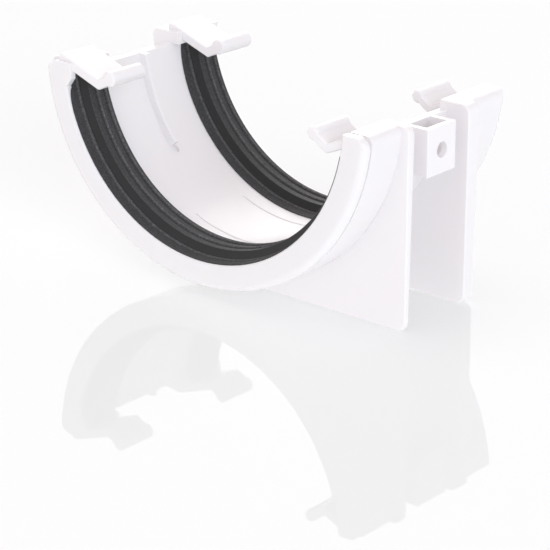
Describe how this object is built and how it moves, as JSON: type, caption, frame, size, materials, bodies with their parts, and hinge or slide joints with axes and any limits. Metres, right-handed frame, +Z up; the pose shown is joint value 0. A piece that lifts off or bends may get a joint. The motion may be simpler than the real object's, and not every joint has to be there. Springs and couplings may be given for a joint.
{
  "type": "half-round gutter union bracket",
  "caption": "Half-round gutter union bracket: a moulded trough with a rubber seal and spring clips at each end, and webs and a screw tab that hold it to a wall.",
  "frame": {"origin": "middle of the bracket's base, on the surface that the webs' lower edges stand on", "axes": "+X towards the wall that carries the bracket, +Y along the gutter towards the thicker web, +Z up"},
  "size_m": [0.1392, 0.073, 0.0704],
  "materials": {
    "white_pvc": "smooth moulded white PVC with a soft gloss",
    "black_rubber": "black EPDM rubber with a dull sheen"
  },
  "bodies": {
    "root": {"bracket_body": "white_pvc", "near_seal": "black_rubber", "far_seal": "black_rubber"}
  },
  "joints": []
}
